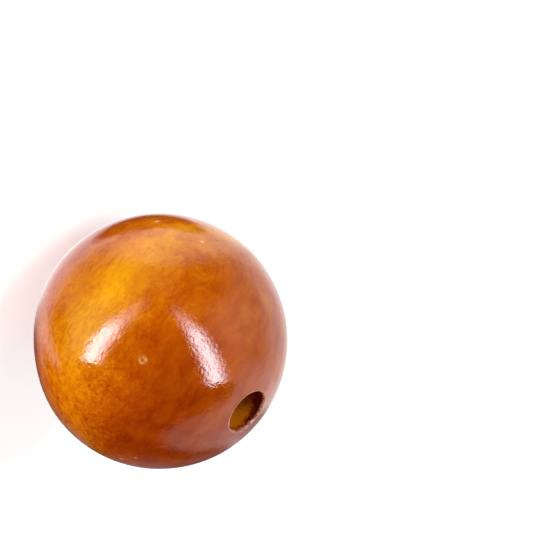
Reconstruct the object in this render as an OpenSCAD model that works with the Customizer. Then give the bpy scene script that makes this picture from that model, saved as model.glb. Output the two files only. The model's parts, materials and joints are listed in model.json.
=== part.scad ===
// Drilled wooden ball, turned from one piece of wood and lacquered.
// The bore goes right through, and each of its mouths has a small rounded lip.
// The ball stands on its lower mouth. The origin is the ball's centre, with the bore along Z.

/* [Ball] */
// Diameter of the ball, over the lacquer
ball_d = 50; // [30:0.5:120]

/* [Bore] */
// Diameter of the hole through the ball
bore_d = 9; // [3:0.5:14]
// Radius of the rounding where the hole meets the ball
lip_r = 0.4; // [0.2:0.1:2]

/* [Colour] */
// Colour of the lacquered wood
ball_colour = "#b5550f"; // ["#b5550f":Amber, "#8a3a12":Red brown, "#c98a4b":Pale]

/* [Hidden] */
$fn = 180;
ball_r = ball_d / 2;
bore_r = bore_d / 2;
// The rounding is tangent to the bore's wall and, from inside, to the ball, so its centre is here.
lip_x = bore_r + lip_r;
lip_z = sqrt(pow(ball_r - lip_r, 2) - pow(lip_x, 2));
// The line from the ball's centre through the rounding's centre crosses the ball where the two meet.
// This share of that line ends well outside the ball.
past_ball = (ball_r + lip_r) / (ball_r - lip_r);

// Half of the ball's section without its bore, on the positive side of the axis.
module drilled_half_disc() {
    intersection() {
        circle(r = ball_r);
        translate([bore_r, -ball_r]) square([ball_r, ball_d]);
    }
}

// The sharp corner that the rounding takes off the upper mouth.
module mouth_corner() {
    difference() {
        polygon([
            [lip_x, lip_z],
            [0, lip_z],
            [0, ball_d],
            [lip_x * past_ball, ball_d],
            [lip_x * past_ball, lip_z * past_ball]
        ]);
        translate([lip_x, lip_z]) circle(r = lip_r);
    }
}

module ball_section() {
    difference() {
        drilled_half_disc();
        mouth_corner();
        mirror([0, 1]) mouth_corner();
    }
}

module ball() {
    color(ball_colour) rotate_extrude() ball_section();
}

ball();
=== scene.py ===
"""Looks of a drilled, lacquered wooden ball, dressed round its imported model.

Lengths are metres in the model's own frame: the origin is the ball's centre and the bore runs along Z. The
finish and its flaws are given in millimetres of the same frame.
"""

import json
import logging
import math
from dataclasses import astuple, dataclass, field
from enum import Enum
from typing import Any, Callable, Optional, Union

import bmesh
import bpy
from mathutils import Matrix, Vector


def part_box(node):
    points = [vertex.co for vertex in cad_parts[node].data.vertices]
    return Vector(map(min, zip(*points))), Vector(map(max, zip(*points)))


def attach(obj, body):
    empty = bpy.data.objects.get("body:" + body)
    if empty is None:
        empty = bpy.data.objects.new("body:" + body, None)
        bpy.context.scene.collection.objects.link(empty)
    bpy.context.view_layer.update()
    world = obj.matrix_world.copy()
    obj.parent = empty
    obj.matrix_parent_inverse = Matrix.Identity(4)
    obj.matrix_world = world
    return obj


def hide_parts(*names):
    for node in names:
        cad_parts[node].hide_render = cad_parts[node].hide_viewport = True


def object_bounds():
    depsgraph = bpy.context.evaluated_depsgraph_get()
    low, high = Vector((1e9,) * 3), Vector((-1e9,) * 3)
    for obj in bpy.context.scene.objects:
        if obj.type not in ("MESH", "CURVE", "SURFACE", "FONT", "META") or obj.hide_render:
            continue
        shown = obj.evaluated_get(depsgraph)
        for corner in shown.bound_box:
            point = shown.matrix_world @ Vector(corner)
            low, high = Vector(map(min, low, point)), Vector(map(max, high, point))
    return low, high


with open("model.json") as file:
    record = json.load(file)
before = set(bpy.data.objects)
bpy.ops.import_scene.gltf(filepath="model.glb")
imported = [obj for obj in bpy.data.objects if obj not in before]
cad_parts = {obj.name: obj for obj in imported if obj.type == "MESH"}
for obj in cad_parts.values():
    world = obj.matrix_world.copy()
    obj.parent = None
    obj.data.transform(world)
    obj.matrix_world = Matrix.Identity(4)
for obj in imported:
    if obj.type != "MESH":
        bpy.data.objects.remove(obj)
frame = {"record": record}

LOG = logging.getLogger("ball")
CAD_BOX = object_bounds()
NODE = "ball"
BODY = "root"
MM = 0.001
PER_METRE = 1000.0
WHITE = (1.0, 1.0, 1.0, 1.0)
# What a noise is on average, and what it seldom passes. Less the second, a lift stays inside the CAD box.
NOISE_MEAN = 0.5
NOISE_CREST = 0.75
# Where a Mix node has its sockets for colours.
MIX_COLOUR_INPUTS = (6, 7)
MIX_COLOUR_OUTPUT = 2

Colour = tuple[float, float, float, float]
Point = tuple[float, float]
Value = Union["Link", float, int]


class Graph:
    """A shader or geometry node tree that is being written."""

    def __init__(self, tree: bpy.types.NodeTree) -> None:
        """Wraps a node tree.

        Args:
            tree: The tree that new nodes go into.
        """
        self.tree = tree

    def add(
        self,
        kind: str,
        settings: Optional[dict[str, Any]] = None,
        inputs: Optional[dict[Union[str, int], Any]] = None,
        output: Union[str, int, None] = 0,
    ) -> "Link":
        """Adds one node.

        Args:
            kind: The node's type.
            settings: Its properties, set first. "stops" holds a colour ramp's (place, colour) pairs.
            inputs: What its sockets get, by name or index: a number, a colour, a vector, a link or several.
            output: The output to return, or None for a node that has none.

        Returns:
            The chosen output.
        """
        node = self.tree.nodes.new(kind)
        for name, value in (settings or {}).items():
            if name == "stops":
                self._set_stops(node.color_ramp, value)
            else:
                setattr(node, name, value)
        for name, value in (inputs or {}).items():
            self._feed(node.inputs[name], value)
        return Link(self, None if output is None else node.outputs[output])

    def _set_stops(self, ramp: bpy.types.ColorRamp, stops: list[tuple[float, Colour]]) -> None:
        """Gives a colour ramp its stops.

        Args:
            ramp: The ramp, which starts with two stops.
            stops: The (place, colour) pairs, from 0 to 1.
        """
        while len(ramp.elements) < len(stops):
            ramp.elements.new(0.5)
        for element, (place, colour) in zip(ramp.elements, stops):
            element.position = place
            element.color = colour

    def _feed(self, socket: bpy.types.NodeSocket, value: Any) -> None:
        """Links a socket, or sets its own value.

        Args:
            socket: The input.
            value: A link, a list of links for an input that takes several, or the input's own value.
        """
        links = value if isinstance(value, list) else [value]
        if isinstance(links[0], Link):
            for link in links:
                self.tree.links.new(link.socket, socket)
        else:
            socket.default_value = value

    def math(self, operation: str, *values: Value) -> "Link":
        """One Math node on up to three values."""
        return self.add("ShaderNodeMath", {"operation": operation}, dict(enumerate(values)))

    def vector(self, operation: str, *values: Any, output: Union[str, int] = 0) -> "Link":
        """One Vector Math node on up to three values."""
        return self.add("ShaderNodeVectorMath", {"operation": operation}, dict(enumerate(values)), output)

    def mix(self, factor: Value, first: Any, second: Any, blend: str = "MIX") -> "Link":
        """Mixes two colours.

        Args:
            factor: The share of the second.
            first: A colour or a link.
            second: A colour or a link.
            blend: The Mix node's blend type.

        Returns:
            The mixed colour.
        """
        settings = {"data_type": "RGBA", "blend_type": blend, "clamp_factor": True}
        inputs = {0: factor, MIX_COLOUR_INPUTS[0]: first, MIX_COLOUR_INPUTS[1]: second}
        return self.add("ShaderNodeMix", settings, inputs, MIX_COLOUR_OUTPUT)


@dataclass(frozen=True)
class Link:
    """A node's output, on which ordinary arithmetic adds Math nodes."""

    graph: Graph
    socket: Optional[bpy.types.NodeSocket]

    def __add__(self, other: Value) -> "Link":
        """self + other."""
        return self.graph.math("ADD", self, other)

    def __radd__(self, other: Value) -> "Link":
        """other + self."""
        return self.graph.math("ADD", other, self)

    def __sub__(self, other: Value) -> "Link":
        """self - other."""
        return self.graph.math("SUBTRACT", self, other)

    def __rsub__(self, other: Value) -> "Link":
        """other - self."""
        return self.graph.math("SUBTRACT", other, self)

    def __mul__(self, other: Value) -> "Link":
        """self * other."""
        return self.graph.math("MULTIPLY", self, other)

    def __rmul__(self, other: Value) -> "Link":
        """other * self."""
        return self.graph.math("MULTIPLY", other, self)

    def __truediv__(self, other: Value) -> "Link":
        """self / other."""
        return self.graph.math("DIVIDE", self, other)

    def __neg__(self) -> "Link":
        """-self."""
        return self.graph.math("MULTIPLY", self, -1.0)

    def __abs__(self) -> "Link":
        """abs(self)."""
        return self.graph.math("ABSOLUTE", self)

    def clamped(self) -> "Link":
        """Held between 0 and 1."""
        return self.graph.add("ShaderNodeClamp", None, {"Value": self})

    def bell(self) -> "Link":
        """1 where this is 0, falling off smoothly on both sides."""
        return self.graph.math("EXPONENT", -(self * self))

    def smooth(self, low: Value, high: Value) -> "Link":
        """A smooth step, from 0 where this is low to 1 where it is high. Either may be the larger."""
        inputs = {"Value": self, "From Min": low, "From Max": high}
        return self.graph.add("ShaderNodeMapRange", {"interpolation_type": "SMOOTHSTEP"}, inputs)

    def ramp(self, stops: list[tuple[float, Colour]]) -> "Link":
        """The colour that a colour ramp gives this value."""
        return self.graph.add("ShaderNodeValToRGB", {"stops": stops}, {"Fac": self})

    def scaled(self, factor: Value) -> "Link":
        """This vector times a number."""
        return self.graph.add("ShaderNodeVectorMath", {"operation": "SCALE"}, {0: self, "Scale": factor})

    def distance(self, point: Vector) -> "Link":
        """How far this place is from a fixed point."""
        return self.graph.vector("DISTANCE", self, tuple(point), output="Value")

    def other_output(self, key: Union[str, int]) -> "Link":
        """Another output of the same node, by name or index."""
        return Link(self.graph, self.socket.node.outputs[key])

    def parts(self) -> tuple["Link", "Link", "Link"]:
        """The three parts of a vector."""
        first = self.graph.add("ShaderNodeSeparateXYZ", None, {0: self})
        return first, first.other_output(1), first.other_output(2)


@dataclass(frozen=True)
class Pattern:
    """An uneven pattern: its features per millimetre, and what multiplies them along each axis."""

    per_mm: float
    detail: float = 2.0
    roughness: float = 0.5
    distortion: float = 0.0
    per_axis: tuple[float, float, float] = (1.0, 1.0, 1.0)

    def value(self, spot: Link, output: Union[str, int] = 0) -> Link:
        """The pattern at a spot.

        Args:
            spot: The place in millimetres.
            output: The noise's output: its value, or "Color" for three values.

        Returns:
            The value, from 0 to 1.
        """
        if self.per_axis != (1.0, 1.0, 1.0):
            spot = spot.graph.vector("MULTIPLY", spot, self.per_axis)
        inputs = {
            "Vector": spot,
            "Scale": self.per_mm,
            "Detail": self.detail,
            "Roughness": self.roughness,
            "Distortion": self.distortion,
        }
        return spot.graph.add("ShaderNodeTexNoise", {"noise_dimensions": "3D"}, inputs, output)

    def around_zero(self, spot: Link) -> Link:
        """The pattern at a spot, from -0.5 to 0.5."""
        return self.value(spot) - NOISE_MEAN


@dataclass(frozen=True)
class PhotoView:
    """Where the photograph was taken from, and where the ball lies in it.

    The bore's axis is the frame's Z. The camera looks down on the ball and is rolled, so that the upper mouth
    shows at the lower right. Its distance is to the ball's centre.
    """

    elevation: float = math.radians(29.0)
    roll: float = math.radians(129.03)
    distance: float = 0.6
    picture_px: float = 560.0
    centre_px: Point = (160.0, 341.0)
    radius_px: float = 128.0
    sensor_mm: float = 36.0

    @property
    def back(self) -> Vector:
        """From the ball to the camera."""
        return Vector((0.0, -math.cos(self.elevation), math.sin(self.elevation)))

    @property
    def right(self) -> Vector:
        """The picture's right, in the frame."""
        level_right = Vector((1.0, 0.0, 0.0))
        level_up = self.back.cross(level_right)
        return level_right * math.cos(self.roll) + level_up * math.sin(self.roll)

    @property
    def up(self) -> Vector:
        """The picture's up, in the frame."""
        return self.back.cross(self.right)

    def direction(self, x: float, y: float, z: float) -> Vector:
        """A direction in the frame from one in the picture: right, up and towards the camera."""
        return (self.right * x + self.up * y + self.back * z).normalized()

    def facing(self, x: float, y: float) -> Vector:
        """The ball's outward direction where it shows at x, y, in ball radii from its centre."""
        return self.direction(x, y, math.sqrt(max(0.0, 1.0 - x * x - y * y)))

    def mirrored(self, x: float, y: float) -> Vector:
        """The direction that the ball's surface at x, y mirrors to the camera."""
        normal = self.facing(x, y)
        return (normal * (2.0 * normal.dot(self.back)) - self.back).normalized()

    def make_camera(self, ball_radius: float) -> bpy.types.Object:
        """Makes the scene's camera.

        Args:
            ball_radius: The ball's radius, which sets the lens.

        Returns:
            The camera.
        """
        data = bpy.data.cameras.new("photo_camera")
        data.sensor_width = self.sensor_mm
        reach = math.sqrt(self.distance ** 2 - ball_radius ** 2)
        focal_px = self.radius_px * reach / ball_radius
        data.lens = focal_px / self.picture_px * self.sensor_mm
        half = self.picture_px / 2
        step_right = (half - self.centre_px[0]) / focal_px
        step_up = (self.centre_px[1] - half) / focal_px
        forward = (-self.back + self.right * step_right + self.up * step_up).normalized()
        side = forward.cross(self.up).normalized()
        upright = side.cross(forward)
        turn = Matrix((side, upright, -forward)).transposed().to_4x4()
        camera = shown("photo_camera", data)
        camera.matrix_world = Matrix.Translation(self.back * self.distance) @ turn
        bpy.context.scene.camera = camera
        return camera


@dataclass(frozen=True)
class BallSizes:
    """The ball's sizes. A lip's height is how far the centre of its rounding lies above the ball's centre."""

    ball_radius: float
    bore_radius: float
    lip_radius: float
    lip_height: float

    @classmethod
    def from_frame(cls) -> "BallSizes":
        """Reads the sizes from the node's box and the record's bore.

        Returns:
            The sizes in metres.
        """
        low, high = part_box(NODE)
        bore = next(m for m in frame["record"]["mounts"] if m["kind"] == "bore")
        lip_height = bore["dims"]["length_mm"] * MM / 2
        return cls(
            ball_radius=max(high.x, high.y),
            bore_radius=bore["dims"]["r_mm"] * MM,
            lip_radius=high.z - lip_height,
            lip_height=lip_height,
        )

    def times(self, factor: float) -> "BallSizes":
        """The same sizes in another unit."""
        return BallSizes(*(size * factor for size in astuple(self)))


@dataclass(frozen=True)
class MouthPlace:
    """Where a spot lies round the bore's mouths.

    off_axis is how far the spot lies from the bore's axis, and height how far above or below the ball's
    centre. side goes from -1 on the near side of the bore to 1 on its far side. end_grain is 1 on the two
    sides where the grain runs straight into the bore.
    """

    spot: Link
    off_axis: Link
    height: Link
    side: Link
    end_grain: Link

    @classmethod
    def of(cls, spot: Link) -> "MouthPlace":
        """Works out where a spot lies.

        Args:
            spot: The spot, in any unit.

        Returns:
            Its place, with the lengths in the spot's unit.
        """
        x, y, z = spot.parts()
        off_axis = spot.graph.math("SQRT", x * x + y * y)
        return cls(spot, off_axis, abs(z), y / off_axis, abs(x) / off_axis)


class FlawKind(Enum):
    """What a flaw of the ball's surface is."""

    BLISTER = "ring-shaped burst bubble"
    NIB = "pale grain of dust under the lacquer"
    SPECK = "dark speck in the wood"
    FLAT = "side left a little flat by the lathe"


@dataclass(frozen=True)
class Flaw:
    """A flaw of the surface, where it shows in the photograph, in ball radii to the right and up.

    In millimetres, radius is a ring's radius and 0 for a spot, height is how far the flaw stands out of the
    surface, and width is how far out it fades.
    """

    kind: FlawKind
    x: float
    y: float
    radius: float
    height: float
    width: float


FLAWS = (
    Flaw(FlawKind.BLISTER, -0.131, -0.141, 0.60, 0.030, 0.27),
    Flaw(FlawKind.NIB, -0.024, 0.920, 0.0, 0.060, 0.42),
    Flaw(FlawKind.NIB, 0.321, 0.759, 0.0, 0.050, 0.34),
    Flaw(FlawKind.NIB, -0.185, -0.897, 0.0, 0.050, 0.24),
    Flaw(FlawKind.NIB, -0.297, -0.909, 0.0, 0.020, 0.36),
    Flaw(FlawKind.SPECK, 0.149, -0.768, 0.0, 0.0, 0.22),
    Flaw(FlawKind.SPECK, 0.294, -0.715, 0.0, 0.0, 0.20),
    Flaw(FlawKind.SPECK, -0.468, -0.493, 0.0, 0.0, 0.16),
    Flaw(FlawKind.SPECK, -0.102, -0.490, 0.0, 0.0, 0.16),
    Flaw(FlawKind.FLAT, -0.998, -0.100, 0.0, -0.40, 10.0),
)


@dataclass(frozen=True)
class Cloud:
    """A lighter or darker cloud in the stain, where it shows in the photograph, in ball radii.

    The tone is how far the cloud's middle is above or below the wood round it.
    """

    x: float
    y: float
    width: float
    tone: float


CLOUDS = (
    Cloud(-0.22, -0.49, 0.15, -0.045),
    Cloud(-0.40, -0.74, 0.18, -0.040),
    Cloud(0.02, -0.29, 0.11, 0.050),
    Cloud(0.57, -0.31, 0.11, 0.060),
    Cloud(0.22, 0.20, 0.16, 0.045),
    Cloud(0.42, 0.78, 0.17, -0.060),
    Cloud(0.22, 0.60, 0.13, -0.035),
    Cloud(-0.61, 0.03, 0.14, 0.085),
    Cloud(-0.42, 0.50, 0.14, -0.045),
    Cloud(0.78, 0.42, 0.22, 0.040),
    Cloud(0.02, -0.96, 0.22, 0.110),
    Cloud(0.34, -0.90, 0.16, 0.060),
    Cloud(-0.86, -0.44, 0.20, 0.060),
    Cloud(-0.62, -0.73, 0.11, -0.060),
)


@dataclass(frozen=True)
class StainShift:
    """A stretch of the wood that took more or less stain.

    It sets in between two places along the grain and between two levels, all in ball radii, and reaches its
    full tone at the second of each pair. No pair of levels means that it holds at every level.
    """

    along: Point
    levels: Optional[Point]
    tone: float

    def tone_at(self, along: Link, level: Link) -> Link:
        """How far the shift lightens a spot.

        Args:
            along: The spot's place along the grain.
            level: The spot's level.

        Returns:
            The change of tone, below 0 where it darkens.
        """
        share = along.smooth(*self.along)
        if self.levels is not None:
            share = share * level.smooth(*self.levels)
        return share * self.tone


STAIN_SHIFTS = (
    StainShift((0.10, -1.00), (0.60, -0.25), -0.170),
    StainShift((0.65, 1.00), None, -0.060),
    StainShift((0.10, -0.45), (0.25, 0.50), 0.040),
    StainShift((0.10, -0.45), (0.40, 0.70), 0.050),
    StainShift((0.60, 0.80), (-0.20, 0.05), -0.055),
    StainShift((0.20, 0.60), (-0.25, -0.60), 0.075),
)

# The tone of each growth layer, by its level from the bottom of the ball at 0 to the top at 1. The pale
# layers round the middle are partly the wood's own amber and partly painted sheen of its silky figure.
LAYER_TONES = (
    (0.000, 0.420),
    (0.175, 0.470),
    (0.275, 0.680),
    (0.375, 0.780),
    (0.430, 0.890),
    (0.480, 0.900),
    (0.530, 0.790),
    (0.590, 0.655),
    (0.650, 0.565),
    (0.710, 0.475),
    (0.800, 0.410),
    (0.870, 0.375),
    (1.000, 0.400),
)

# Patterns that are drawn out to twice their length along the grain.
ALONG_GRAIN = (0.5, 1.0, 1.0)
# Between which shares of end grain the fibres at a mouth start to tear out.
END_GRAIN = (0.60, 0.95)


@dataclass(frozen=True)
class LacqueredWood:
    """Fine-grained wood, stained amber to red-brown, with painted sheen in its amber middle, under clear
    gloss lacquer, and bare in the bore.

    Lengths here are millimetres. The grain runs along X and the growth layers lie across Z, a little tilted
    and bowed.
    """

    deep: Colour = (0.140, 0.0090, 0.0002, 1.0)
    russet: Colour = (0.300, 0.0300, 0.0003, 1.0)
    orange: Colour = (0.500, 0.0880, 0.0005, 1.0)
    light_orange: Colour = (0.620, 0.1500, 0.0008, 1.0)
    amber: Colour = (0.800, 0.2650, 0.0015, 1.0)
    honey: Colour = (0.980, 0.4100, 0.0030, 1.0)
    red_stain: Colour = (1.000, 0.7000, 0.8000, 1.0)
    brown_stain: Colour = (0.900, 1.0000, 1.0000, 1.0)
    bore_ochre: Colour = (0.610, 0.1780, 0.0020, 1.0)
    bore_brown: Colour = (0.300, 0.0420, 0.0010, 1.0)
    # The wall's darkest colour: stain at the mouths, and painted shade down one side.
    bore_stain_and_shade: Colour = (0.115, 0.0060, 0.0006, 1.0)
    # The lips' pale line: partly bare wood from wear, partly painted highlight.
    lip_wear_and_highlight: Colour = (0.900, 0.4800, 0.3000, 1.0)
    chipped_lip: Colour = (0.400, 0.1700, 0.1200, 1.0)
    # The blister's ring: a painted highlight round the burst bubble.
    blister_highlight_ring: Colour = (0.950, 0.4900, 0.1400, 1.0)
    dust_mark: Colour = (1.000, 0.6200, 0.2400, 1.0)
    dark_mark: Colour = (0.100, 0.0120, 0.0015, 1.0)

    gloss: float = 0.025
    gloss_spread: float = 0.05
    lacquer_ior: float = 1.5
    bare_roughness: float = 0.9
    dust_strength: float = 0.80
    speck_strength: float = 0.90
    pore_depth: float = 0.24
    # How far the painted glints lighten the wood.
    glint_lift: float = 0.16

    peel_height: float = 0.0342
    brush_height: float = 0.0152
    drill_mark_height: float = 0.12
    layer_sway: float = 5.0
    layer_tilt: float = 0.08
    layer_bow: float = 0.15

    gloss_patches: Pattern = Pattern(0.5)
    peel: Pattern = Pattern(1.5)
    brush_marks: Pattern = Pattern(2.4, 1.5, per_axis=ALONG_GRAIN)
    drill_marks: Pattern = Pattern(1.2, per_axis=(1.0, 1.0, 0.35))
    sway: Pattern = Pattern(0.07)
    blotches: Pattern = Pattern(0.28, 3.0, 0.6, per_axis=(0.6, 1.0, 1.0))
    crinkles: Pattern = Pattern(0.95, 3.0, 0.82, 0.6, ALONG_GRAIN)
    pores: Pattern = Pattern(2.6, 1.5, distortion=1.0, per_axis=ALONG_GRAIN)
    glints: Pattern = Pattern(2.1, 1.0, distortion=1.0, per_axis=ALONG_GRAIN)
    mark_patches: Pattern = Pattern(1.7)
    mark_outlines: Pattern = Pattern(1.0)
    torn_edge: Pattern = Pattern(2.4, roughness=0.7, per_axis=(1.0, 1.0, 0.5))
    wear_and_highlight_edge: Pattern = Pattern(1.5, roughness=0.7)
    chips: Pattern = Pattern(3.0)
    soaked_edge: Pattern = Pattern(1.6, 3.0, 0.7)
    bore_streaks: Pattern = Pattern(0.9, 3.0, 0.7, per_axis=(1.0, 1.0, 0.6))

    def make(self, sizes: BallSizes, view: PhotoView) -> bpy.types.Material:
        """Makes the material.

        Args:
            sizes: The ball's sizes in metres.
            view: The photograph's view, which places the flaws and the clouds.

        Returns:
            The material.
        """
        material, graph = new_material("lacquered_wood")
        mm = sizes.times(PER_METRE)
        spot = graph.add("ShaderNodeTexCoord", output="Object").scaled(PER_METRE)
        place = MouthPlace.of(spot)
        inside = self._inside_bore(place, mm)
        wood = self._marked(spot, self._wood_colour(spot, mm, view), mm, view)
        # The lips' pale line is partly wear and partly painted highlight.
        wear_and_highlight, lip_colour = self._mouth_wear_and_highlight(place, mm)
        lacquered = graph.add(
            "ShaderNodeBsdfPrincipled",
            None,
            {
                "Base Color": graph.mix(wear_and_highlight, wood, lip_colour),
                "Roughness": self.gloss + self.gloss_spread * self.gloss_patches.value(spot),
                "IOR": self.lacquer_ior,
                "Normal": self._bumped(self._lacquer_height(spot) * (1.0 - inside)),
            },
        )
        fibres = self.drill_marks.value(spot) * self.drill_mark_height
        bare = graph.add(
            "ShaderNodeBsdfPrincipled",
            None,
            {
                "Base Color": self._bore_colour(place, mm),
                "Roughness": self.bare_roughness,
                "Specular IOR Level": 0.0,
                "Normal": self._bumped(fibres * inside),
            },
        )
        shader = graph.add("ShaderNodeMixShader", None, {0: inside, 1: lacquered, 2: bare})
        graph.add("ShaderNodeOutputMaterial", None, {"Surface": shader}, None)
        return material

    def _bumped(self, height: Link) -> Link:
        """The normal that a height in millimetres gives."""
        inputs = {"Strength": 1.0, "Distance": 1.0, "Height": height * MM}
        return height.graph.add("ShaderNodeBump", None, inputs)

    def _lacquer_height(self, spot: Link) -> Link:
        """The height of the lacquer's orange peel and of the finer brush marks along the grain."""
        peel = self.peel.around_zero(spot) * self.peel_height
        return peel + self.brush_marks.around_zero(spot) * self.brush_height

    def _inside_bore(self, place: MouthPlace, mm: BallSizes) -> Link:
        """Tells the bore's bare wall from the lacquer, with an edge that the torn fibres make ragged.

        Args:
            place: The spot's place round the mouths.
            mm: The ball's sizes.

        Returns:
            1 on the wall and 0 on the lacquer.
        """
        far = place.side.smooth(-0.1, 0.7)
        raggedness = self.torn_edge.around_zero(place.spot) * (far * 0.9 + 0.4)
        bare_from = far * 0.05 - place.end_grain.smooth(*END_GRAIN) * 0.33 + raggedness
        below_lip = (mm.lip_height - place.height - bare_from).smooth(-0.06, 0.08)
        lip_end = mm.bore_radius + mm.lip_radius
        return below_lip * place.off_axis.smooth(lip_end, mm.bore_radius + mm.lip_radius * 0.6)

    def _mouth_wear_and_highlight(self, place: MouthPlace, mm: BallSizes) -> tuple[Link, Link]:
        """Pales each mouth's lip: a thin pale line, partly bare wood from wear and partly painted highlight,
        and a wider chipped band on the far side.

        Args:
            place: The spot's place round the mouths.
            mm: The ball's sizes.

        Returns:
            Where the lip is pale from wear and painted highlight, and its colour there.
        """
        far = place.side.smooth(0.0, 0.6)
        unevenness = self.wear_and_highlight_edge.around_zero(place.spot) * (0.25 + far * 0.7)
        past_edge = (place.off_axis - mm.bore_radius) + unevenness - far * 0.50
        chips = self.chips.value(place.spot)
        wear_and_highlight = past_edge.smooth(0.47, 0.30) * (1.0 - far * 0.6 * chips.smooth(0.60, 0.42))
        wear_and_highlight = wear_and_highlight * (1.0 - place.end_grain.smooth(*END_GRAIN) * 0.7)
        chipped = far * chips.smooth(0.68, 0.52)
        return wear_and_highlight, chips.graph.mix(chipped, self.lip_wear_and_highlight, self.chipped_lip)

    def _marked(self, spot: Link, colour: Link, mm: BallSizes, view: PhotoView) -> Link:
        """Puts the marks of the flaws on the wood: the blister's painted highlight ring, the nibs' pale dust
        and the dark specks.

        Args:
            spot: The place.
            colour: The wood's colour.
            mm: The ball's sizes.
            view: The photograph's view, which places the flaws.

        Returns:
            The marked wood's colour.
        """
        # How strongly the blister's painted highlight ring shows, patch by patch.
        ring_highlight_share = self.mark_patches.value(spot).smooth(0.34, 0.58) * 0.66 + 0.10
        marks = {
            FlawKind.BLISTER: (self.blister_highlight_ring, ring_highlight_share),
            FlawKind.NIB: (self.dust_mark, self.dust_strength),
            FlawKind.SPECK: (self.dark_mark, self.speck_strength),
        }
        uneven = self.mark_outlines.around_zero(spot) * 0.35
        for flaw in FLAWS:
            if flaw.kind in marks:
                mark, most = marks[flaw.kind]
                away = spot.distance(view.facing(flaw.x, flaw.y) * mm.ball_radius)
                share = ((away + uneven - flaw.radius) / flaw.width).bell() * most
                colour = spot.graph.mix(share, colour, mark)
        return colour

    def _wood_colour(self, spot: Link, mm: BallSizes, view: PhotoView) -> Link:
        """Colours the wood: amber near the middle, partly stain and partly painted sheen, browner to one end
        of the grain and redder to the other.

        Args:
            spot: The place.
            mm: The ball's sizes.
            view: The photograph's view, which places the clouds.

        Returns:
            The colour of the wood as it shows through the lacquer.
        """
        graph = spot.graph
        swaying = graph.vector("SUBTRACT", self.sway.value(spot, "Color"), (NOISE_MEAN,) * 3)
        bent = graph.vector("ADD", spot, swaying.scaled(self.layer_sway))
        x, _, z = bent.parts()
        along = x / mm.ball_radius
        level = z / mm.ball_radius - along * self.layer_tilt - along * along * self.layer_bow
        # The layers' ramp is palest round the middle: partly the wood's own amber, partly painted sheen.
        greys = [(place, (grey, grey, grey, 1.0)) for place, grey in LAYER_TONES]
        tone = (level * 0.5 + 0.5).ramp(greys) + self._figure(bent, along, level)
        for shift in STAIN_SHIFTS:
            tone = tone + shift.tone_at(along, level)
        for cloud in CLOUDS:
            away = spot.distance(view.facing(cloud.x, cloud.y) * mm.ball_radius)
            tone = tone + (away / (cloud.width * mm.ball_radius)).bell() * cloud.tone
        stained = tone.clamped().ramp(
            [
                (0.10, self.deep),
                (0.30, self.russet),
                (0.50, self.orange),
                (0.62, self.light_orange),
                (0.80, self.amber),
                (0.98, self.honey),
            ]
        )
        browner = along.smooth(0.1, -1.0) * level.smooth(-0.30, 0.0)
        browned = graph.mix(browner, stained, graph.mix(1.0, stained, self.brown_stain, "MULTIPLY"))
        redder = along.smooth(0.0, 1.0)
        return graph.mix(redder, browned, graph.mix(1.0, browned, self.red_stain, "MULTIPLY"))

    def _figure(self, bent: Link, along: Link, level: Link) -> Link:
        """The wood's figure: broad blotches, and crinkles, pores and painted glints that are livelier to one
        end.

        Args:
            bent: The place in the swaying layers.
            along: The place along the grain, in ball radii.
            level: The layer's level, in ball radii.

        Returns:
            How far the figure lightens the wood.
        """
        calm = (level + along.smooth(0.3, 0.8) * 0.22).smooth(0.25, 0.68)
        mottled = along.smooth(-0.30, -0.60) * level.smooth(0.15, -0.15)
        lively = along.smooth(-0.6, 0.9) * 0.60 + along.smooth(0.25, 0.75) * 0.22
        lively = lively + mottled * 0.15 + 0.40
        blotch = self.blotches.around_zero(bent) * (0.35 + calm * 0.08 + mottled * 0.20)
        pores = self.pores.value(bent).smooth(0.63, 0.73) * self.pore_depth
        # Painted glints: small pale flecks put into the wood's colour.
        glints = self.glints.value(bent).smooth(0.66, 0.78) * self.glint_lift
        fine = self.crinkles.around_zero(bent) - pores + glints
        return blotch + fine * (0.95 - calm * 0.76) * lively

    def _bore_colour(self, place: MouthPlace, mm: BallSizes) -> Link:
        """Colours the bore's bare wall: ochre, with stain that ran in at the mouths, and painted shade that
        darkens one side.

        Args:
            place: The spot's place round the mouths.
            mm: The ball's sizes.

        Returns:
            The wall's colour.
        """
        x, _, _ = place.spot.parts()
        uneven = self.soaked_edge.around_zero(place.spot) * 2.2
        soaked_to = x.smooth(4.0, -3.0) * 1.2 + 0.3
        past_soaked = mm.lip_height - place.height + uneven - soaked_to
        run_in = past_soaked.smooth(0.95, -0.45) * (x.smooth(5.0, 1.0) * 0.4 + 0.6)
        # Painted shade: the wall darkens towards its -X side, which faces away from the light.
        painted_shade_side = (x + uneven).smooth(-0.2, -3.6) * 0.82
        streaks = self.bore_streaks.around_zero(place.spot) * (x.smooth(4.0, -1.0) + 0.4)
        # Stain and the painted shade of one side darken the wall together.
        stain = 1.0 - (1.0 - run_in) * (1.0 - painted_shade_side) + streaks
        return stain.ramp([(0.0, self.bore_ochre), (0.6, self.bore_brown), (1.0, self.bore_stain_and_shade)])


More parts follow.
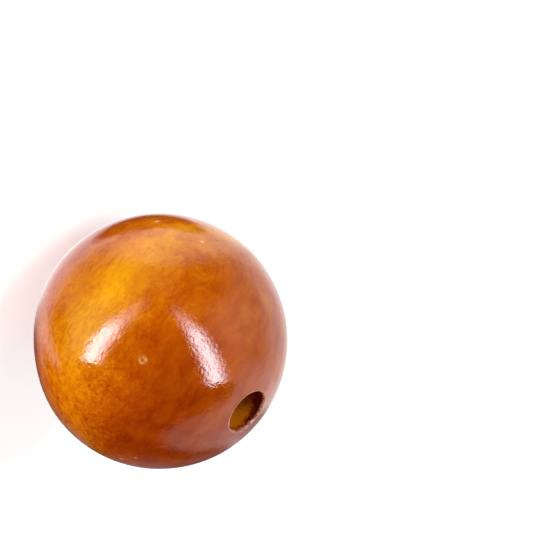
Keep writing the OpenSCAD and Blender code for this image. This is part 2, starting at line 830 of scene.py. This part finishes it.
@dataclass
class DrilledBall:
    """The ball itself: its section swept round the bore's axis, with the lacquer's unevenness worked in.

    The facets are counted round the axis, and along the ball's arc, each lip's arc and the bore's wall. The
    broad waves are as deep as waviness and the lacquer's orange peel as peel_depth. The torn fibres stand out
    by torn_depth and start torn_reach below a mouth. Points closer than merge_within become one.
    """

    sizes: BallSizes
    view: PhotoView
    finish: LacqueredWood = field(default_factory=LacqueredWood)
    facets_round: int = 400
    facets_ball: int = 184
    facets_lip: int = 10
    facets_bore: int = 36
    waviness: float = 0.10 * MM
    peel_depth: float = 0.006 * MM
    torn_depth: float = 0.20 * MM
    torn_reach: float = 1.6 * MM
    merge_within: float = 0.002 * MM
    waves: Pattern = Pattern(0.045, 1.0)
    peel: Pattern = Pattern(0.75, 1.0)
    teeth: Pattern = Pattern(2.0, roughness=0.7, per_axis=(1.0, 1.0, 0.4))

    def build(self) -> bpy.types.Object:
        """Makes the piece and dresses it.

        Returns:
            The finished piece, riding on its body.
        """
        group = self._geometry_tree(self.finish.make(self.sizes, self.view))
        piece = shown("drilled_ball", bpy.data.meshes.new("drilled_ball"))
        modifier = piece.modifiers.new("section_swept", "NODES")
        modifier.node_group = group
        values = self._inputs()
        for item in group.interface.items_tree:
            if item.in_out == "INPUT":
                modifier[item.identifier] = values[item.name]
        graph = bpy.context.evaluated_depsgraph_get()
        mesh = bpy.data.meshes.new_from_object(piece.evaluated_get(graph), depsgraph=graph)
        piece.modifiers.remove(modifier)
        piece.data = mesh
        mesh.name = "drilled_ball"
        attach(piece, BODY)
        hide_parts(NODE)
        return piece

    def _inputs(self) -> dict[str, float]:
        """The node tree's inputs, by name."""
        return {
            "Ball Radius": self.sizes.ball_radius,
            "Bore Radius": self.sizes.bore_radius,
            "Lip Radius": self.sizes.lip_radius,
            "Lip Height": self.sizes.lip_height,
            "Waviness": self.waviness,
            "Peel Depth": self.peel_depth,
            "Torn Depth": self.torn_depth,
        }

    def _geometry_tree(self, material: bpy.types.Material) -> bpy.types.NodeTree:
        """Writes the node tree that sweeps the section and works the surface.

        Args:
            material: The ball's finish.

        Returns:
            The tree.
        """
        tree = bpy.data.node_groups.new("drilled_ball", "GeometryNodeTree")
        tree.interface.new_socket("Geometry", in_out="OUTPUT", socket_type="NodeSocketGeometry")
        for name in self._inputs():
            tree.interface.new_socket(name, in_out="INPUT", socket_type="NodeSocketFloat")
        graph = Graph(tree)
        entry = graph.add("NodeGroupInput")
        size = {name: entry.other_output(name) for name in self._inputs()}
        worked = self._work_surface(self._sweep_section(graph, size), size)
        torn = self._tear_mouths(worked, size)
        smooth = graph.add("GeometryNodeSetShadeSmooth", None, {"Geometry": torn, "Shade Smooth": True})
        real = graph.add("GeometryNodeRealizeInstances", None, {"Geometry": smooth})
        dressed = graph.add("GeometryNodeSetMaterial", None, {"Geometry": real, "Material": material})
        graph.add("NodeGroupOutput", None, {0: dressed}, None)
        return tree

    def _sweep_section(self, graph: Graph, size: dict[str, Link]) -> Link:
        """Sweeps the whole section: the ball, the upper lip, the bore's wall and the lower lip.

        Args:
            graph: The tree.
            size: The tree's inputs.

        Returns:
            The closed mesh.
        """
        ball, lip, height = size["Ball Radius"], size["Lip Radius"], size["Lip Height"]
        lip_centre = size["Bore Radius"] + lip
        meets_at = graph.math("ARCTAN2", height, lip_centre)
        stretches = [
            self._arc(graph, self.facets_ball, (0.0, 0.0), ball, -meets_at, meets_at),
            self._arc(graph, self.facets_lip, (lip_centre, height), lip, meets_at, math.pi),
            self._wall(graph, size["Bore Radius"], height),
            self._arc(graph, self.facets_lip, (lip_centre, -height), lip, -math.pi, -meets_at),
        ]
        joined = graph.add("GeometryNodeJoinGeometry", None, {0: stretches})
        inputs = {"Geometry": joined, "Distance": self.merge_within}
        return graph.add("GeometryNodeMergeByDistance", None, inputs)

    def _swept(self, graph: Graph, facets: int, shape: Callable[[Link], tuple[Link, Link]]) -> Link:
        """Sweeps one stretch of the section round the axis.

        Args:
            graph: The tree.
            facets: The stretch's facets.
            shape: Gives the distance from the axis and the height at a share of the stretch.

        Returns:
            The stretch's mesh.
        """
        inputs = {"Size X": 1.0, "Size Y": 1.0, "Vertices X": facets + 1, "Vertices Y": self.facets_round + 1}
        grid = graph.add("GeometryNodeMeshGrid", None, inputs)
        share, round_share, _ = graph.add("GeometryNodeInputPosition").parts()
        out, height = shape(share + 0.5)
        turn = (round_share + 0.5) * (-2.0 * math.pi)
        place = graph.add(
            "ShaderNodeCombineXYZ",
            None,
            {0: out * graph.math("COSINE", turn), 1: out * graph.math("SINE", turn), 2: height},
        )
        return graph.add("GeometryNodeSetPosition", None, {"Geometry": grid, "Position": place})

    def _arc(
        self, graph: Graph, facets: int, centre: tuple[Value, Value], radius: Link, start: Value, end: Value
    ) -> Link:
        """Sweeps an arc of the section.

        Args:
            graph: The tree.
            facets: The arc's facets.
            centre: Its centre: the distance from the axis and the height.
            radius: Its radius.
            start: The angle that it starts at.
            end: The angle that it ends at.

        Returns:
            The arc's mesh.
        """

        def shape(share: Link) -> tuple[Link, Link]:
            """The arc's point at a share of its length."""
            angle = start + (end - start) * share
            cosine, sine = (graph.math(operation, angle) for operation in ("COSINE", "SINE"))
            return centre[0] + radius * cosine, centre[1] + radius * sine

        return self._swept(graph, facets, shape)

    def _wall(self, graph: Graph, radius: Link, half_height: Link) -> Link:
        """Sweeps the bore's wall, with facets that get closer towards both mouths.

        Args:
            graph: The tree.
            radius: The bore's radius.
            half_height: Half the wall's height.

        Returns:
            The wall's mesh.
        """

        def shape(share: Link) -> tuple[Link, Link]:
            """The wall's point at a share of its length, from the upper mouth down."""
            return radius * 1.0, half_height * graph.math("COSINE", share * math.pi)

        return self._swept(graph, self.facets_bore, shape)

    def _moved(self, mesh: Link, offset: Link) -> Link:
        """The mesh with its points moved."""
        return mesh.graph.add("GeometryNodeSetPosition", None, {"Geometry": mesh, "Offset": offset})

    def _work_surface(self, mesh: Link, size: dict[str, Link]) -> Link:
        """Works the lacquer's and the wood's unevenness into the ball, outside its mouths.

        Args:
            mesh: The swept mesh.
            size: The tree's inputs.

        Returns:
            The worked mesh.
        """
        spot = mesh.graph.add("GeometryNodeInputPosition").scaled(PER_METRE)
        bore, lip = size["Bore Radius"] * PER_METRE, size["Lip Radius"] * PER_METRE
        outside = MouthPlace.of(spot).off_axis.smooth(bore + lip * 0.6, bore + lip * 2.0)
        lift = (self.waves.value(spot) - NOISE_CREST) * size["Waviness"]
        lift = lift + (self.peel.value(spot) - NOISE_CREST) * size["Peel Depth"]
        for flaw in FLAWS:
            if flaw.height:
                centre = self.view.facing(flaw.x, flaw.y) * (self.sizes.ball_radius * PER_METRE)
                shape = ((spot.distance(centre) - flaw.radius) / flaw.width).bell()
                lift = lift + shape * (flaw.height * MM)
        return self._moved(mesh, mesh.graph.add("GeometryNodeInputNormal").scaled(lift * outside))

    def _tear_mouths(self, mesh: Link, size: dict[str, Link]) -> Link:
        """Tears the fibres round the inner edge of each mouth, most on the far side and on the end grain.

        Args:
            mesh: The worked mesh.
            size: The tree's inputs.

        Returns:
            The torn mesh.
        """
        graph = mesh.graph
        spot = graph.add("GeometryNodeInputPosition").scaled(PER_METRE)
        place = MouthPlace.of(spot)
        bore, lip, top = (size[name] * PER_METRE for name in ("Bore Radius", "Lip Radius", "Lip Height"))
        near_wall = place.off_axis.smooth(bore + lip * 0.7, bore)
        near_mouth = place.height.smooth(top - self.torn_reach * PER_METRE, top)
        ends = place.end_grain.smooth(0.5, 0.95)
        rough_side = graph.math("MAXIMUM", place.side.smooth(-0.3, 0.5), ends) * 0.8 + 0.2
        teeth = self.teeth.around_zero(spot) * 2.4 * rough_side + ends * 0.7
        amount = teeth * near_wall * near_mouth * size["Torn Depth"]
        inward = graph.vector("NORMALIZE", graph.vector("MULTIPLY", spot, (-1.0, -1.0, 0.0)))
        return self._moved(mesh, inward.scaled(amount))


@dataclass(frozen=True)
class StripLight:
    """A long soft light, placed so that the ball mirrors it where the photograph shows a highlight.

    The highlight runs from its bright foot to its faint tip along a curve with one control point. Points and
    half widths are in ball radii from the ball's centre in the picture. A half width is where the light has
    half its strength, and edges says how many of them the sheet reaches on its left and on its right. The
    wing is the share of the light that spreads twice as wide. The light fades from a share of its length on.
    The reach is how far the sheet stands from the ball.
    """

    name: str
    foot: Point
    control: Point
    tip: Point
    half_widths: tuple[float, float, float]
    edges: Point
    colour: Colour
    strength: float
    fade_from: float
    fade_rate: float
    wing: float = 0.10
    reach: float = 0.45
    steps_long: int = 32
    steps_wide: int = 16

    def make(self, view: PhotoView, ball_radius: float) -> bpy.types.Object:
        """Makes the light as a glowing sheet that only gloss sees.

        Args:
            view: The photograph's view.
            ball_radius: The ball's radius.

        Returns:
            The light.
        """
        points: list[Vector] = []
        glow: list[float] = []
        for i in range(self.steps_long + 1):
            share = i / self.steps_long
            middle, across = self._row(share)
            for j in range(self.steps_wide + 1):
                out = -self.edges[1] + (self.edges[0] + self.edges[1]) * j / self.steps_wide
                x, y = middle + across * out
                points.append(view.facing(x, y) * ball_radius + view.mirrored(x, y) * self.reach)
                glow.append(self._glow(share, out))
        row = self.steps_wide + 1
        faces = [
            (i * row + j, i * row + j + 1, (i + 1) * row + j + 1, (i + 1) * row + j)
            for i in range(self.steps_long)
            for j in range(self.steps_wide)
        ]
        mesh = bpy.data.meshes.new(self.name)
        mesh.from_pydata(points, [], faces)
        mesh.attributes.new("glow", "FLOAT", "POINT").data.foreach_set("value", glow)
        mesh.materials.append(self._glow_material())
        strip = shown(self.name, mesh)
        unseen_by(strip, "camera", "diffuse", "shadow")
        return strip

    def _row(self, share: float) -> tuple[Vector, Vector]:
        """One row across the highlight.

        Args:
            share: The row's place, from 0 at the foot to 1 at the tip.

        Returns:
            The row's middle, and one half width to its left.
        """
        foot, control, tip = (Vector(point) for point in (self.foot, self.control, self.tip))
        at_foot, at_control, at_tip = (1 - share) ** 2, 2 * share * (1 - share), share ** 2
        middle = foot * at_foot + control * at_control + tip * at_tip
        along = (control - foot) * (1 - share) + (tip - control) * share
        widths = zip(self.half_widths, (at_foot, at_control, at_tip))
        half_width = sum(width * part for width, part in widths)
        return middle, Vector((-along.y, along.x)).normalized() * half_width

    def _glow(self, share: float, out: float) -> float:
        """How strongly the sheet glows at one point.

        Args:
            share: The point's place along the highlight.
            out: Its place across, in half widths.

        Returns:
            The strength.
        """
        along = self.strength * math.exp(-self.fade_rate * max(0.0, share - self.fade_from))
        core = (1.0 - self.wing) * 0.5 ** (out * out)
        return along * (core + self.wing * 0.5 ** (out * out / 4.0))

    def _glow_material(self) -> bpy.types.Material:
        """The sheet's tinted light, as strong as the mesh's glow says at each point."""
        material, graph = new_material(self.name)
        glow = graph.add("ShaderNodeAttribute", {"attribute_name": "glow"}, output="Fac")
        light = graph.add("ShaderNodeEmission", None, {"Color": self.colour, "Strength": glow})
        graph.add("ShaderNodeOutputMaterial", None, {"Surface": light}, None)
        return material


STRIPS = (
    StripLight(
        name="left_strip",
        foot=(-0.541, -0.158),
        control=(-0.500, 0.036),
        tip=(-0.090, 0.318),
        half_widths=(0.050, 0.054, 0.025),
        edges=(1.35, 2.1),
        colour=(1.0, 0.84, 0.96, 1.0),
        strength=22.0,
        fade_from=0.555,
        fade_rate=6.9,
    ),
    StripLight(
        name="right_strip",
        foot=(0.437, -0.330),
        control=(0.383, -0.020),
        tip=(0.087, 0.258),
        half_widths=(0.047, 0.053, 0.014),
        edges=(2.0, 2.2),
        colour=(0.91, 0.91, 1.0, 1.0),
        strength=21.5,
        fade_from=0.63,
        fade_rate=6.5,
    ),
)


@dataclass(frozen=True)
class SoftLamp:
    """A square soft lamp that lights the wood and the floor but isn't mirrored.

    It stands at its reach from the ball, in a direction that is given in the picture: right, up and towards
    the camera. Its power is in watts.
    """

    name: str
    towards: tuple[float, float, float]
    side: float
    power: float
    reach: float = 0.5

    def make(self, view: PhotoView) -> bpy.types.Object:
        """Makes the lamp.

        Args:
            view: The photograph's view.

        Returns:
            The lamp, turned to the ball.
        """
        data = bpy.data.lights.new(self.name, "AREA")
        data.size = self.side
        data.energy = self.power
        lamp = shown(self.name, data)
        place = view.direction(*self.towards) * self.reach
        lamp.matrix_world = Matrix.Translation(place) @ place.to_track_quat("Z", "Y").to_matrix().to_4x4()
        unseen_by(lamp, "glossy")
        return lamp


LAMPS = (
    SoftLamp("upper_left_lamp", (-0.50, 0.50, 0.70), 0.30, 1.30),
    SoftLamp("right_lamp", (0.75, 0.15, 0.64), 0.20, 1.15),
    SoftLamp("lower_lamp", (-0.55, -0.70, 0.45), 0.30, 0.55),
)


class Chart(Enum):
    """How a patch of the light tent is laid out, as the ball mirrors it."""

    FLAT = "x to the right and y up, in ball radii"
    ROUND = "degrees anticlockwise from the right, -120 to 240, and ball radii from the centre"


@dataclass(frozen=True)
class TentPatch:
    """A soft oval patch of the light tent, where the ball mirrors it in the photograph.

    The half is half the oval's length and width on its chart, and soft is the share of them over which its
    edge fades. The tilt is in degrees, anticlockwise. A later patch lies over the earlier ones.
    """

    centre: Point
    half: Point
    soft: float
    strength: float
    tilt: float = 0.0
    chart: Chart = Chart.FLAT


TENT_BASE = 0.01
ROUND_CHART_ENDS = (240.0, -120.0)
TENT = (
    # Pale cloth above and to the left.
    TentPatch((-0.05, 0.78), (1.05, 0.62), 0.30, 0.24),
    TentPatch((-0.72, 0.42), (0.34, 0.36), 0.45, 0.37),
    TentPatch((-0.50, 0.62), (0.22, 0.10), 0.50, 0.48, 32.0),
    TentPatch((-0.36, 0.47), (0.22, 0.13), 0.60, 0.12),
    TentPatch((-0.53, 0.08), (0.12, 0.22), 0.60, 0.75, -38.0),
    # Pale cloth to the right.
    TentPatch((0.86, 0.12), (0.44, 0.66), 0.25, 0.55),
    TentPatch((0.58, 0.12), (0.17, 0.19), 0.60, 0.90),
    TentPatch((0.78, -0.30), (0.24, 0.15), 0.30, 1.10),
    # Bright borders of the cloth, mirrored near the outline.
    TentPatch((8.0, 1.02), (62.0, 0.20), 0.30, 1.30, chart=Chart.ROUND),
    TentPatch((130.0, 1.02), (63.0, 0.17), 0.26, 1.60, chart=Chart.ROUND),
    TentPatch((-0.876, 0.04), (0.056, 0.24), 0.30, 1.35, 19.0),
    TentPatch((0.08, 0.84), (0.58, 0.25), 0.22, 1.45),
    # Dark gaps between the cloths, and the dark front.
    TentPatch((96.0, 0.926), (27.0, 0.056), 0.15, 0.02, chart=Chart.ROUND),
    TentPatch((0.20, 0.876), (0.17, 0.032), 0.40, 0.05, -12.0),
    TentPatch((-0.775, 0.08), (0.070, 0.19), 0.35, 0.03),
    TentPatch((0.30, 0.43), (0.22, 0.17), 0.40, 0.04),
    TentPatch((-0.04, -0.22), (0.30, 0.60), 0.12, 0.01),
    TentPatch((-0.35, -0.70), (0.80, 0.52), 0.12, 0.01),
    TentPatch((0.26, -0.38), (0.31, 0.16), 0.06, 0.01),
    # Faint cloth low down, and pale cloth that is mirrored beside the bore's mouth.
    TentPatch((200.0, 1.03), (36.0, 0.090), 0.35, 0.10, chart=Chart.ROUND),
    TentPatch((226.0, 0.98), (10.0, 0.035), 0.50, 0.18, chart=Chart.ROUND),
    TentPatch((-96.0, 1.03), (17.0, 0.110), 0.50, 0.22, chart=Chart.ROUND),
    TentPatch((0.45, -0.685), (0.42, 0.145), 0.20, 0.76, 10.0),
    TentPatch((0.52, -0.600), (0.24, 0.13), 0.35, 1.10, 34.0),
    TentPatch((-70.0, 1.00), (12.0, 0.080), 0.50, 0.13, chart=Chart.ROUND),
    TentPatch((0.70, -0.44), (0.24, 0.14), 0.14, 1.60, 48.0),
    TentPatch((0.80, -0.70), (0.24, 0.12), 0.35, 0.44, 45.0),
)


@dataclass
class Studio:
    """Floor, surroundings and lamps.

    floor_lift is how far the pale floor is brightened where it shows, surround how strong the soft light is
    that comes from all round, and fold_depth how far the folds in the tent's cloth lighten and darken it.
    """

    view: PhotoView
    sizes: BallSizes
    floor_size: float = 6.0
    floor_paper: Colour = (0.82, 0.82, 0.82, 1.0)
    floor_lift: float = 0.60
    surround: float = 0.42
    tent_radius: float = 4.0
    tent_cloth: Colour = (1.0, 0.89, 0.90, 1.0)
    folds: Pattern = Pattern(5.0, 3.0, 0.6)
    fold_depth: float = 1.0

    def build(self) -> list[bpy.types.Object]:
        """Makes everything round the ball.

        Returns:
            The floor, the tent and the lights.
        """
        floor = self._make_floor()
        self._make_surround()
        tent = self._make_tent()
        strips = [strip.make(self.view, self.sizes.ball_radius) for strip in STRIPS]
        lamps = [lamp.make(self.view) for lamp in LAMPS]
        return [floor, tent, *strips, *lamps]

    def _background_rays(self, graph: Graph) -> Link:
        """1 on the rays that show a background: straight ones, mirrored ones and those through glass."""
        kinds = ("Is Camera Ray", "Is Glossy Ray", "Is Transmission Ray")
        straight, mirrored, through = (graph.add("ShaderNodeLightPath", output=kind) for kind in kinds)
        return (straight + mirrored + through).clamped()

    def _make_floor(self) -> bpy.types.Object:
        """Makes a plain pale floor that touches the lower lip.

        Returns:
            The floor.
        """
        low, _ = CAD_BOX
        half = self.floor_size / 2
        mesh = bpy.data.meshes.new("floor")
        corners = [(-half, -half, low.z), (half, -half, low.z), (half, half, low.z), (-half, half, low.z)]
        mesh.from_pydata(corners, [], [(0, 1, 2, 3)])
        material, graph = new_material("pale_floor")
        paper = graph.add("ShaderNodeBsdfDiffuse", None, {"Color": self.floor_paper})
        strength = self._background_rays(graph) * self.floor_lift
        lift = graph.add("ShaderNodeEmission", None, {"Color": WHITE, "Strength": strength})
        both = graph.add("ShaderNodeAddShader", None, {0: paper, 1: lift})
        graph.add("ShaderNodeOutputMaterial", None, {"Surface": both}, None)
        mesh.materials.append(material)
        floor = shown("floor", mesh)
        unseen_by(floor, "glossy", "shadow")
        return floor

    def _make_surround(self) -> None:
        """Makes even soft light from all round, in front of a white background."""
        world = bpy.data.worlds.new("soft_surround")
        bpy.context.scene.world = world
        world.use_nodes = True
        world.node_tree.nodes.clear()
        graph = Graph(world.node_tree)
        soft = graph.add("ShaderNodeBackground", None, {"Color": WHITE, "Strength": self.surround})
        white = graph.add("ShaderNodeBackground", None, {"Color": WHITE, "Strength": 1.0})
        both = graph.add("ShaderNodeMixShader", None, {0: self._background_rays(graph), 1: soft, 2: white})
        graph.add("ShaderNodeOutputWorld", None, {"Surface": both}, None)

    def _make_tent(self) -> bpy.types.Object:
        """Makes the light tent that the lacquer mirrors, of pale and dark cloth, which only gloss sees.

        Returns:
            The tent.
        """
        mesh = bpy.data.meshes.new("light_tent")
        form = bmesh.new()
        bmesh.ops.create_icosphere(form, subdivisions=4, radius=self.tent_radius)
        form.to_mesh(mesh)
        form.free()
        material, graph = new_material("tent_cloth")
        material.cycles.emission_sampling = "NONE"
        ray = graph.vector("NORMALIZE", graph.add("ShaderNodeTexCoord", output="Object"))
        glow = self._tent_glow(ray)
        light = graph.add("ShaderNodeEmission", None, {"Color": self.tent_cloth, "Strength": glow})
        graph.add("ShaderNodeOutputMaterial", None, {"Surface": light}, None)
        mesh.materials.append(material)
        tent = shown("light_tent", mesh)
        unseen_by(tent, "camera", "diffuse", "transmission", "shadow")
        return tent

    def _tent_glow(self, ray: Link) -> Link:
        """Lays the patches over each other.

        A direction is looked up by the place on the ball, x to the right and y up, that mirrors it in the
        photograph.

        Args:
            ray: The direction from the ball, of length 1.

        Returns:
            How bright the tent is in that direction.
        """
        graph = ray.graph
        facing = graph.vector("NORMALIZE", graph.vector("ADD", ray, tuple(self.view.back)))
        x = graph.vector("DOT_PRODUCT", facing, tuple(self.view.right), output="Value")
        y = graph.vector("DOT_PRODUCT", facing, tuple(self.view.up), output="Value")
        flat = graph.add("ShaderNodeCombineXYZ", None, {0: x, 1: y})
        away = graph.vector("LENGTH", flat, output="Value")
        angle = graph.math("WRAP", graph.math("DEGREES", graph.math("ARCTAN2", y, x)), *ROUND_CHART_ENDS)
        charts = {Chart.FLAT: flat, Chart.ROUND: graph.add("ShaderNodeCombineXYZ", None, {0: angle, 1: away})}
        glow: Value = TENT_BASE
        for patch in TENT:
            place = {
                "Vector": charts[patch.chart],
                "Location": (*patch.centre, 0.0),
                "Rotation": (0.0, 0.0, math.radians(patch.tilt)),
                "Scale": (*patch.half, 1.0),
            }
            local = graph.add("ShaderNodeMapping", {"vector_type": "TEXTURE"}, place)
            out = graph.vector("LENGTH", local, output="Value")
            share = out.smooth(1.0 + patch.soft, 1.0 - patch.soft)
            glow = graph.math("MULTIPLY_ADD", share, patch.strength - glow, glow)
        return glow * (self.folds.around_zero(ray) * self.fold_depth + 1.0)


def new_material(name: str) -> tuple[bpy.types.Material, Graph]:
    """Makes a material without nodes.

    Args:
        name: The material's name.

    Returns:
        The material and its empty tree.
    """
    material = bpy.data.materials.new(name)
    material.use_nodes = True
    material.node_tree.nodes.clear()
    return material, Graph(material.node_tree)


def shown(name: str, data: bpy.types.ID) -> bpy.types.Object:
    """Makes an object and puts it in the scene.

    Args:
        name: The object's name.
        data: Its mesh, light or camera.

    Returns:
        The object.
    """
    thing = bpy.data.objects.new(name, data)
    bpy.context.scene.collection.objects.link(thing)
    return thing


def unseen_by(thing: bpy.types.Object, *rays: str) -> None:
    """Hides an object from some kinds of rays, such as "glossy" ones."""
    for ray in rays:
        setattr(thing, "visible_" + ray, False)


def report(thing: bpy.types.Object) -> None:
    """Logs a finished piece: a mesh by its faces and a lamp by its watts."""
    if thing.type == "MESH":
        LOG.info("%s: %d faces", thing.name, len(thing.data.polygons))
    else:
        LOG.info("%s: %.2f W", thing.name, thing.data.energy)


def main() -> None:
    """Builds the camera, the ball and the studio."""
    logging.basicConfig(level=logging.INFO)
    bpy.context.scene.view_settings.view_transform = "Standard"
    view = PhotoView()
    sizes = BallSizes.from_frame()
    view.make_camera(sizes.ball_radius)
    report(DrilledBall(sizes, view).build())
    for thing in Studio(view, sizes).build():
        report(thing)


if __name__ == "__main__":
    main()
